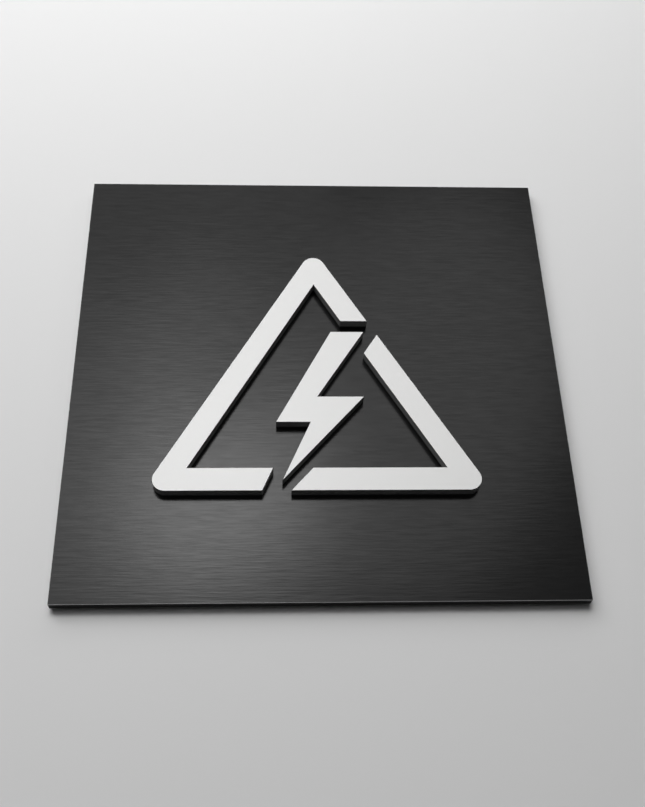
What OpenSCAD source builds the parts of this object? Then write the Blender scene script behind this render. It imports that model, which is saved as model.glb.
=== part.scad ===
// Electrical hazard sign: a square panel of black brushed composite sheet
// with a raised white warning triangle, which a lightning bolt cuts through.
// The sign lies on its back. X runs to its right, Y to its top, and Z out of
// its face. The origin is the middle of the lowest face, in millimetres.

/* [Panel] */
// Side of the square panel
panel_side = 140; // [120:1:200]
// Thickness of the panel's composite sheet
panel_t = 3; // [2:0.5:6]
// Thickness of each skin of the panel's sheet
panel_skin_t = 0.3; // [0.2:0.05:0.5]

/* [Triangle] */
// Side of the triangle, measured to its corners before they are rounded
triangle_side = 94.2; // [90:0.1:100]
// Width of the triangle's band
band_w = 6.8; // [5:0.1:8.5]
// Radius of the triangle's outer corners
corner_r = 3.5; // [1:0.1:6]
// Middle of the triangle, to the right of the panel's middle
symbol_x = -0.8; // [-5:0.1:5]
// Middle of the triangle, above the panel's middle
symbol_y = -0.8; // [-5:0.1:5]
// Thickness of the composite sheet of the raised pieces
symbol_t = 3; // [2:0.5:6]
// Thickness of each skin of the raised pieces' sheet
symbol_skin_t = 0.3; // [0.2:0.05:0.5]
// Thickness of the bonding film that holds the raised pieces
film_t = 0.2; // [0.1:0.05:0.5]

/* [Bolt] */
// Gap left open all round between the bolt and the triangle
bolt_gap = 3.75; // [2.5:0.05:4.5]
// Height of the bolt, from its top edge to its tip
bolt_h = 48.1; // [46:0.1:50]
// Width of the bolt's top edge
bolt_top_w = 9.7; // [8:0.1:11]
// Left end of the top edge, to the right of the triangle's middle
bolt_x = 4.6; // [3.5:0.1:6]
// Top edge, above the triangle's middle
bolt_y = 12; // [11:0.1:13]
// Tip, to the left of the top edge's left end
tip_lean = 14.2; // [13:0.1:15]
// Left foot's drop below the top edge
foot_drop = 30.1; // [28:0.1:32]
// Left foot's point, to the left of the top edge's left end
foot_lean = 15.9; // [15:0.1:17]
// Width of the left foot
foot_w = 9.6; // [8:0.1:11]
// Right shoulder's drop below the top edge
shoulder_drop = 21.9; // [20:0.1:24]
// Right shoulder's inner end, to the left of the top edge's right end
shoulder_lean = 13.9; // [13:0.1:15]
// Width of the right shoulder
shoulder_w = 13.2; // [12:0.1:14.5]

/* [Mounting tape] */
// Width of each strip of tape on the back
tape_w = 18; // [10:1:25]
// Length of each strip
tape_len = 120; // [80:1:120]
// Thickness of the tape
tape_t = 0.4; // [0.2:0.05:1]
// Margin between a strip and the panel's edge
tape_margin = 10; // [2:1:20]
// Thickness of the release liner on each strip
liner_t = 0.1; // [0.05:0.01:0.15]

/* [Hidden] */

BRUSHED_BLACK = "#37383a";
SIGNAL_WHITE = "#e6e6e4";
CORE_BLACK = "#161617";
PRIMER_GREY = "#8f9294";
TAPE_BLACK = "#202022";
LINER_WHITE = "#dcdad2";

// Levels of the stack, from the liners up
tape_z = liner_t;
panel_z = tape_z + tape_t;
film_z = panel_z + panel_t;
symbol_z = film_z + film_t;

// An equilateral triangle about the middle of its rounded outline. Inset by
// the band it is the inner edge, and by the corner radius it is the middles
// of the corner arcs.
half_corner = 30;
triangle_h = triangle_side * cos(half_corner);
base_y = (corner_r - triangle_h) / 2;
function inset(d) =
    let (side = triangle_side - 2 * d / tan(half_corner), y = base_y + d)
    [[-side / 2, y], [side / 2, y], [0, y + side * cos(half_corner)]];
arc_steps = 24;
arc_turn = 120;
first_arc = 150;
function arc(middle, start) = [
    for (i = [0:arc_steps])
        let (a = start + arc_turn * i / arc_steps)
        middle + corner_r * [cos(a), sin(a)]
];
arc_middles = inset(corner_r);
outer = [for (i = [0:2]) each arc(arc_middles[i], first_arc + arc_turn * i)];

// The bolt, named by its corners from the top edge's left end round by its
// left foot, tip and right shoulder to the top edge's right end
top_left = [bolt_x, bolt_y];
top_right = top_left + [bolt_top_w, 0];
foot_point = top_left - [foot_lean, foot_drop];
foot_root = foot_point + [foot_w, 0];
tip = top_left - [tip_lean, bolt_h];
shoulder_root = top_right - [shoulder_lean, shoulder_drop];
shoulder_point = shoulder_root + [shoulder_w, 0];
bolt = [top_left, foot_point, foot_root, tip, shoulder_point, shoulder_root, top_right];

// The bolt's outline moved out by the gap. Its tip and its top right corner
// cut through the band, so they stay sharp, and its other points are cut off.
function unit(v) = v / norm(v);
function right_of(v) = [v.y, -v.x];
function meet(p, u, q, v) = p + u * cross(q - p, v) / cross(u, v);
function mitre(before, at, after) =
    let (u = unit(at - before), v = unit(after - at))
    meet(at + right_of(u) * bolt_gap, u, at + right_of(v) * bolt_gap, v);
function cut_off(before, at, after) = [
    at + right_of(unit(at - before)) * bolt_gap,
    at + right_of(unit(after - at)) * bolt_gap
];
function turns_in(before, at, after) = cross(at - before, after - at) < 0;
function grown(before, at, after) =
    at == tip || at == top_right || turns_in(before, at, after)
        ? [mitre(before, at, after)]
        : cut_off(before, at, after);
bolt_points = len(bolt);
clearance = [
    for (i = [0:bolt_points - 1])
        each grown(bolt[(i + bolt_points - 1) % bolt_points], bolt[i], bolt[(i + 1) % bolt_points])
];
tip_mitre = mitre(foot_root, tip, shoulder_point);
top_mitre = mitre(shoulder_root, top_right, top_left);

// All that lies to the right of the bolt, between its mitred corners
right_side = [
    top_mitre, top_right, shoulder_root, shoulder_point, tip, tip_mitre,
    [panel_side, tip_mitre.y], [panel_side, top_mitre.y]
];

module cut_triangle() difference() {
    polygon(outer);
    polygon(inset(band_w));
    polygon(clearance);
}

module left_arm() difference() {
    cut_triangle();
    polygon(right_side);
}

module right_arm() intersection() {
    cut_triangle();
    polygon(right_side);
}

// One layer of an outline, from height z up
module layer(z, t) translate([0, 0, z]) linear_extrude(t) children();

// The layers of a composite sheet that lies at height z
module back_skin(z, skin_t) layer(z, skin_t) children();
module core(z, sheet_t, skin_t) layer(z + skin_t, sheet_t - 2 * skin_t) children();
module front_skin(z, sheet_t, skin_t) layer(z + sheet_t - skin_t, skin_t) children();

module on_symbol() translate([symbol_x, symbol_y]) children();
module bonding_film() color(TAPE_BLACK) layer(film_z, film_t) on_symbol() children();
module symbol_back_skin() color(PRIMER_GREY)
    back_skin(symbol_z, symbol_skin_t) on_symbol() children();
module symbol_core() color(CORE_BLACK)
    core(symbol_z, symbol_t, symbol_skin_t) on_symbol() children();
module symbol_face() color(SIGNAL_WHITE)
    front_skin(symbol_z, symbol_t, symbol_skin_t) on_symbol() children();

// A strip on the back, on the left with side -1 and on the right with side 1
module strip(side)
    translate([side * (panel_side / 2 - tape_margin - tape_w / 2), 0])
        square([tape_w, tape_len], center = true);
module tape(side) color(TAPE_BLACK) layer(tape_z, tape_t) strip(side);
module liner(side) color(LINER_WHITE) layer(0, liner_t) strip(side);

module left_tape_liner() liner(-1);
module right_tape_liner() liner(1);
module left_tape() tape(-1);
module right_tape() tape(1);

module panel_outline() square(panel_side, center = true);
module panel_back_skin() color(PRIMER_GREY) back_skin(panel_z, panel_skin_t) panel_outline();
module panel_core() color(CORE_BLACK) core(panel_z, panel_t, panel_skin_t) panel_outline();
module panel_front_skin() color(BRUSHED_BLACK)
    front_skin(panel_z, panel_t, panel_skin_t) panel_outline();

module left_arm_film() bonding_film() left_arm();
module left_arm_back_skin() symbol_back_skin() left_arm();
module left_arm_core() symbol_core() left_arm();
module left_arm_face() symbol_face() left_arm();

module bolt_film() bonding_film() polygon(bolt);
module bolt_back_skin() symbol_back_skin() polygon(bolt);
module bolt_core() symbol_core() polygon(bolt);
module bolt_face() symbol_face() polygon(bolt);

module right_arm_film() bonding_film() right_arm();
module right_arm_back_skin() symbol_back_skin() right_arm();
module right_arm_core() symbol_core() right_arm();
module right_arm_face() symbol_face() right_arm();

left_tape_liner();
right_tape_liner();
left_tape();
right_tape();
panel_back_skin();
panel_core();
panel_front_skin();
left_arm_film();
left_arm_back_skin();
left_arm_core();
left_arm_face();
bolt_film();
bolt_back_skin();
bolt_core();
bolt_face();
right_arm_film();
right_arm_back_skin();
right_arm_core();
right_arm_face();
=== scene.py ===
"""An electrical hazard sign of aluminium composite sheet, lying on its back.

A square panel, brushed and black, carries a raised warning triangle in three
white pieces: a left arm, a lightning bolt and a right arm. Each is cut from
sheet with two thin aluminium skins on a polyethylene core.
"""

import math

import bmesh
import bpy
from mathutils import Euler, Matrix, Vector


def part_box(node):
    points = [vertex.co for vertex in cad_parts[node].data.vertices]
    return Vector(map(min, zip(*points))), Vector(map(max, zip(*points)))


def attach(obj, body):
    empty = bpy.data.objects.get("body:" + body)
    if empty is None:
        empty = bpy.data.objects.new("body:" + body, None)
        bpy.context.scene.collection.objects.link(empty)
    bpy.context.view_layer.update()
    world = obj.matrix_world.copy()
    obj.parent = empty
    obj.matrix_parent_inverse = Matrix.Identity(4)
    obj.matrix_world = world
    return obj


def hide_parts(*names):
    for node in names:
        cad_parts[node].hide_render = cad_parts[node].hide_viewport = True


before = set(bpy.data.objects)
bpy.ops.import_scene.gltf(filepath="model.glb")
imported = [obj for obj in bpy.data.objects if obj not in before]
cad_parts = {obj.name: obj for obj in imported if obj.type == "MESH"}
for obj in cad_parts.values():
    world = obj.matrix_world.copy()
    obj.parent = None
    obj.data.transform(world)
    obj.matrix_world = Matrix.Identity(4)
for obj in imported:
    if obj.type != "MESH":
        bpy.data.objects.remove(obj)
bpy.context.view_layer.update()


# The camera stands in front of the sign and looks down on it at about 60
# degrees, as worked out from the corners of the panel and the edges of the
# raised pieces. Its place is measured from the middle of the panel's face.
MM = 0.001
PHOTO_HEIGHT = 807
FOCAL_PX = 1054.4
SENSOR = 36
NEAREST = 10 * MM
CAMERA_FROM_FACE = Vector((-12.6, -160.9, 259.1)) * MM
CAMERA_TURN = Euler((0.5245, -0.0396, -0.0231))

face_middle = Vector((0, 0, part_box("panel_front_skin")[1].z))
camera = bpy.data.objects.new("camera", bpy.data.cameras.new("camera"))
camera.data.sensor_width = SENSOR
camera.data.lens = SENSOR * FOCAL_PX / PHOTO_HEIGHT
camera.data.clip_start = NEAREST
camera.location = face_middle + CAMERA_FROM_FACE
camera.rotation_euler = CAMERA_TURN
bpy.context.scene.collection.objects.link(camera)
bpy.context.scene.camera = camera
bpy.context.scene.view_settings.view_transform = "Standard"


# The table is a smooth pale laminate with hardly any gloss, wide enough to fill
# every view. Away from where the window lights it, and past all that the photo
# shows, it fades to the pale room.
def linear(colour):
    """A colour such as "#37383a" as linear red, green, blue and alpha."""
    parts = [int(colour[i:i + 2], 16) / 255 for i in (1, 3, 5)]
    return [p / 12.92 if p <= 0.04045 else ((p + 0.055) / 1.055) ** 2.4 for p in parts] + [1]


def material(name, colour, roughness, metallic=0.0):
    """A new material, with its tree and its shader."""
    made = bpy.data.materials.new(name)
    made.use_nodes = True
    shader = made.node_tree.nodes["Principled BSDF"]
    shader.inputs["Base Color"].default_value = linear(colour)
    shader.inputs["Roughness"].default_value = roughness
    shader.inputs["Metallic"].default_value = metallic
    return made, made.node_tree, shader


def add(tree, kind, inputs=(), **settings):
    """A new node of that kind, with its settings, and its inputs set or linked."""
    made = tree.nodes.new(kind)
    for name, value in settings.items():
        setattr(made, name, value)
    for name, value in dict(inputs).items():
        if isinstance(value, bpy.types.NodeSocket):
            tree.links.new(value, made.inputs[name])
        else:
            made.inputs[name].default_value = value
    return made


def when_seen(tree, strength):
    """That strength, but 0 for light that falls on a surface and isn't seen or mirrored."""
    rays = add(tree, "ShaderNodeLightPath")
    seen = add(tree, "ShaderNodeMath", {0: rays.outputs["Is Camera Ray"],
                                        1: rays.outputs["Is Glossy Ray"]}, operation="MAXIMUM")
    return add(tree, "ShaderNodeMath", {0: seen.outputs["Value"], 1: strength},
               operation="MULTIPLY").outputs["Value"]


WHITE = (1, 1, 1, 1)
TABLE_SIZE = 6.0
TABLE_COLOUR = "#e2e2e2"
TABLE_ROUGHNESS = 0.6
TABLE_SHEEN = 0.05
LIT_MIDDLE = Vector((-150, 250, 0)) * MM
FADE_START = 430 * MM
FADE_END = 850 * MM
PAINTED_GLOW_TONE = 0.5

bpy.ops.mesh.primitive_plane_add(size=TABLE_SIZE)
table = bpy.context.object
table.name = "table"
laminate, tree, shader = material("pale_laminate", TABLE_COLOUR, TABLE_ROUGHNESS)
shader.inputs["Specular IOR Level"].default_value = TABLE_SHEEN
place = add(tree, "ShaderNodeTexCoord")
reach = add(tree, "ShaderNodeVectorMath", {0: place.outputs["Object"], 1: LIT_MIDDLE},
            operation="DISTANCE")
# Painted glow: far from the lit middle the table shows a white emission, seen only by the camera
# and in reflections. It lights nothing and stands in for room light.
fade = add(tree, "ShaderNodeMapRange", {
    "Value": reach.outputs["Value"], "From Min": FADE_START, "From Max": FADE_END,
    "To Min": 0.0, "To Max": PAINTED_GLOW_TONE})
shader.inputs["Emission Color"].default_value = WHITE
tree.links.new(when_seen(tree, fade.outputs["Result"]), shader.inputs["Emission Strength"])
table.data.materials.append(laminate)


# The light comes from behind the sign, high up and a little to the left: a
# window with a bright middle, and pale walls low down beside it. Hardly any
# comes from the front, so the walls that face the camera stay dark.
def lamp(name, from_face, size, power):
    """A soft lamp that faces the middle of the sign's face, in metres and watts."""
    light = bpy.data.lights.new(name, "AREA")
    light.shape = "ELLIPSE"
    light.size, light.size_y = size
    light.energy = power
    made = bpy.data.objects.new(name, light)
    made.location = face_middle + Vector(from_face)
    made.rotation_euler = (-Vector(from_face)).to_track_quat("-Z", "Y").to_euler()
    bpy.context.scene.collection.objects.link(made)


ROOM_TONE = 0.64

lamp("window_middle", (-0.075, 0.275, 0.70), (0.21, 0.14), 0.5)
lamp("window_glow", (-0.15, 0.30, 0.70), (0.30, 0.30), 0.5)
lamp("window_upper", (-0.06, 0.33, 0.70), (0.19, 0.40), 0.6)
lamp("window_left", (-0.33, 0.22, 0.70), (0.62, 0.58), 1.65)
lamp("window_right", (0.13, 0.40, 0.70), (0.32, 0.48), 1.05)
lamp("low_left", (-0.40, 0.40, 0.35), (0.28, 0.28), 1.0)
lamp("low_middle", (-0.10, 0.40, 0.35), (0.28, 0.28), 0.35)
lamp("low_right", (0.30, 0.45, 0.18), (0.25, 0.15), 0.2)
lamp("low_near", (0.0, 0.35, 0.16), (0.25, 0.12), 0.15)
lamp("room_left", (-0.42, -0.42, 0.45), (0.30, 0.30), 0.05)

world = bpy.data.worlds.new("room")
bpy.context.scene.world = world
world.use_nodes = True
tree = world.node_tree
tree.nodes.clear()
room = add(tree, "ShaderNodeBackground", {"Color": WHITE, "Strength": when_seen(tree, ROOM_TONE)})
add(tree, "ShaderNodeOutputWorld", {"Surface": room.outputs["Background"]})


# The panel's front skin is aluminium, brushed along X and stained black under
# a thin clear lacquer, which draws the window out into a soft sheen. The saw
# leaves its edges bare, and they catch the light.
GRAIN_LOW, GRAIN_HIGH = 0.3, 0.7  # most of a noise lies between these


def noise(tree, along, across, detail=2.0, shift=0.0):
    """Noise with grains along mm long in X and across mm wide in Y and Z."""
    place = add(tree, "ShaderNodeTexCoord")
    scaled = add(tree, "ShaderNodeMapping", {
        "Vector": place.outputs["Object"],
        "Location": (shift, shift, shift),
        "Scale": (1 / (along * MM), 1 / (across * MM), 1 / (across * MM)),
    })
    return add(tree, "ShaderNodeTexNoise", {
        "Vector": scaled.outputs["Vector"], "Scale": 1.0, "Detail": detail,
    }).outputs["Fac"]


def relief(tree, shader, height, depth):
    """Bumps of that depth in mm on the shader's surface."""
    bumps = add(tree, "ShaderNodeBump", {"Height": height, "Distance": depth * MM})
    tree.links.new(bumps.outputs["Normal"], shader.inputs["Normal"])


def tinted(tree, shader, grain, colour, low, high):
    """The shader's colour, between low and high times its strength by the grain."""
    share = add(tree, "ShaderNodeMapRange", {
        "Value": grain, "From Min": GRAIN_LOW, "From Max": GRAIN_HIGH,
        "To Min": low, "To Max": high})
    mixed = add(tree, "ShaderNodeVectorMath", {
        0: linear(colour)[:3], "Scale": share.outputs["Result"]}, operation="SCALE")
    tree.links.new(mixed.outputs["Vector"], shader.inputs["Base Color"])


WELD = 0.001 * MM
FLAT = math.radians(0.5)
SHARP = math.radians(50)
SAME_HEIGHT = 0.01 * MM
EASED_EDGE = 0.06 * MM
EASED_STEPS = 2
ROUND = 0.5
LEVEL = 0.95  # how much of a level face's normal points up or down


def finished(node, finish, cut_finish=None, eased_side=0):
    """A CAD solid in its finish: eased upright edges, and an eased rim on the
    side that shows, 1 for the top and -1 for the bottom. Its cut edges have
    their own finish."""
    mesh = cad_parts[node].data.copy()
    mesh.materials.clear()
    form = bmesh.new()
    form.from_mesh(mesh)
    bmesh.ops.remove_doubles(form, verts=form.verts, dist=WELD)
    bmesh.ops.dissolve_limit(form, angle_limit=FLAT, verts=form.verts, edges=form.edges)
    height = max(v.co.z * eased_side for v in form.verts)
    eased = []
    for edge in form.edges:
        upright = abs(edge.verts[0].co.z - edge.verts[1].co.z) > SAME_HEIGHT
        on_rim = eased_side and all(v.co.z * eased_side > height - SAME_HEIGHT
                                    for v in edge.verts)
        if (upright or on_rim) and edge.calc_face_angle(0) > SHARP:
            eased.append(edge)
    bmesh.ops.bevel(form, geom=eased, offset=EASED_EDGE, segments=EASED_STEPS, profile=ROUND,
                    affect="EDGES", clamp_overlap=True)
    for face in form.faces:
        face.smooth = True
        face.material_index = int(cut_finish is not None and abs(face.normal.z) < LEVEL)
    form.to_mesh(mesh)
    form.free()
    mesh.set_sharp_from_angle(angle=SHARP)
    mesh.materials.append(finish)
    if cut_finish:
        mesh.materials.append(cut_finish)
    piece = bpy.data.objects.new(node + "_finished", mesh)
    bpy.context.scene.collection.objects.link(piece)
    flat = piece.modifiers.new("flat_faces", "WEIGHTED_NORMAL")
    flat.keep_sharp = True
    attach(piece, "root")
    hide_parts(node)


STAIN = "#1f1f1f"
STAIN_TINT = (0.86, 1.14)
LACQUER_ROUGHNESS = 0.2
# Real hairlines are about 0.05 mm wide, too fine to show in the render, so they
# are drawn as coarse as they need to be.
HAIRLINE = (6, 0.42)
HAIRLINE_DETAIL = 3.0
SCRATCH = (12, 0.8)
SCRATCH_SHIFT = 7.0
HAIRLINE_DEPTH = 0.011
BARE_ALUMINIUM = "#949495"
SAWN_ROUGHNESS = 0.4
SAW_GRAIN = (0.25, 0.25)
SAW_GRAIN_DEPTH = 0.01

brushed_black, tree, shader = material("brushed_black_aluminium", STAIN, LACQUER_ROUGHNESS,
                                       metallic=1.0)
hairlines = noise(tree, *HAIRLINE, detail=HAIRLINE_DETAIL)
scratches = noise(tree, *SCRATCH, shift=SCRATCH_SHIFT)
both = add(tree, "ShaderNodeMath", {0: hairlines, 1: scratches}, operation="ADD")
relief(tree, shader, both.outputs["Value"], HAIRLINE_DEPTH)
tinted(tree, shader, hairlines, STAIN, *STAIN_TINT)

cut_aluminium, tree, shader = material("sawn_aluminium", BARE_ALUMINIUM, SAWN_ROUGHNESS,
                                       metallic=1.0)
relief(tree, shader, noise(tree, *SAW_GRAIN), SAW_GRAIN_DEPTH)

finished("panel_front_skin", brushed_black, cut_aluminium, eased_side=1)


# The panel's core is black polyethylene, sawn square with its skins. The saw
# leaves its edge matt, with fine upright marks.
CORE_BLACK = "#0f0f0f"
CORE_ROUGHNESS = 0.55
CORE_SHEEN = 0.1
SAW_MARK = (0.15, 0.6)
SAW_MARK_DEPTH = 0.015

sawn_core, tree, shader = material("sawn_black_polyethylene", CORE_BLACK, CORE_ROUGHNESS)
shader.inputs["Specular IOR Level"].default_value = CORE_SHEEN
relief(tree, shader, noise(tree, *SAW_MARK), SAW_MARK_DEPTH)
finished("panel_core", sawn_core)


# The panel's back skin is aluminium with a grey wash primer, rolled on along X,
# which gives it faint streaks. It shows only from behind, round the tape.
PRIMER_GREY = "#8f9294"
PRIMER_ROUGHNESS = 0.5
ROLLED_STREAK = (40, 1.2)
ROLLED_TINT = (0.94, 1.05)

primer, tree, shader = material("grey_wash_primer", PRIMER_GREY, PRIMER_ROUGHNESS)
tinted(tree, shader, noise(tree, *ROLLED_STREAK), PRIMER_GREY, *ROLLED_TINT)
finished("panel_back_skin", primer, cut_aluminium, eased_side=-1)


# The faces of the left arm, the bolt and the right arm are aluminium skins
# with a matt white coil coat, as smooth as fine orange peel. The skins' routed
# cut edges get a dull, dark grey metal, far darker than the bare aluminium at
# the panel's edge.
RAISED = ("left_arm", "bolt", "right_arm")
COAT_WHITE = "#e1e1e0"
COAT_ROUGHNESS = 0.35
ORANGE_PEEL = (0.7, 0.7)
ORANGE_PEEL_DEPTH = 0.003
DARK_EDGE_ALUMINIUM = "#404041"
DARK_EDGE_ROUGHNESS = 0.45

white_coat, tree, shader = material("white_coil_coat", COAT_WHITE, COAT_ROUGHNESS)
relief(tree, shader, noise(tree, *ORANGE_PEEL), ORANGE_PEEL_DEPTH)
routed_edge, tree, shader = material("routed_aluminium", DARK_EDGE_ALUMINIUM, DARK_EDGE_ROUGHNESS,
                                     metallic=1.0)
for part in RAISED:
    finished(part + "_face", white_coat, routed_edge, eased_side=1)


# Their cores are black polyethylene too. The router frosts their walls to a
# dull grey with fine level marks. They look dark only where no window light
# falls on them, as in the photo.
ROUTED_GREY = "#8e8e8e"
ROUTED_ROUGHNESS = 0.4
ROUTER_MARK = (1.5, 0.25)
ROUTER_MARK_DEPTH = 0.01

routed_core, tree, shader = material("routed_black_polyethylene", ROUTED_GREY, ROUTED_ROUGHNESS)
relief(tree, shader, noise(tree, *ROUTER_MARK), ROUTER_MARK_DEPTH)
for part in RAISED:
    finished(part + "_core", routed_core)


# Their back skins have the same primer as the panel's, and only their cut
# edges show.
for part in RAISED:
    finished(part + "_back_skin", primer, routed_edge)


# A black acrylic film, cut with each raised piece, bonds it to the panel. Only
# its edge shows, as a fine dark line at the foot of the walls.
FILM_BLACK = "#161617"
FILM_ROUGHNESS = 0.45

bonding_film, tree, shader = material("black_acrylic_film", FILM_BLACK, FILM_ROUGHNESS)
for part in RAISED:
    finished(part + "_film", bonding_film)


# Two strips of black foam tape lie along the sides of the back. Their cut
# edges are matt, with the foam's fine cells cut open.
SIDES = ("left", "right")
FOAM_BLACK = "#1b1b1c"
FOAM_ROUGHNESS = 0.85
FOAM_CELL = (0.12, 0.12)
FOAM_CELL_DEPTH = 0.03

foam, tree, shader = material("black_foam", FOAM_BLACK, FOAM_ROUGHNESS)
relief(tree, shader, noise(tree, *FOAM_CELL), FOAM_CELL_DEPTH)
for side in SIDES:
    finished(side + "_tape", foam)


# A siliconised paper liner, faintly cloudy, still covers each strip of tape.
PAPER_WHITE = "#dcdad2"
PAPER_ROUGHNESS = 0.45
PAPER_CLOUD = (2.5, 1.8)
PAPER_TINT = (0.97, 1.02)

paper, tree, shader = material("siliconised_paper", PAPER_WHITE, PAPER_ROUGHNESS)
tinted(tree, shader, noise(tree, *PAPER_CLOUD), PAPER_WHITE, *PAPER_TINT)
for side in SIDES:
    finished(side + "_tape_liner", paper)
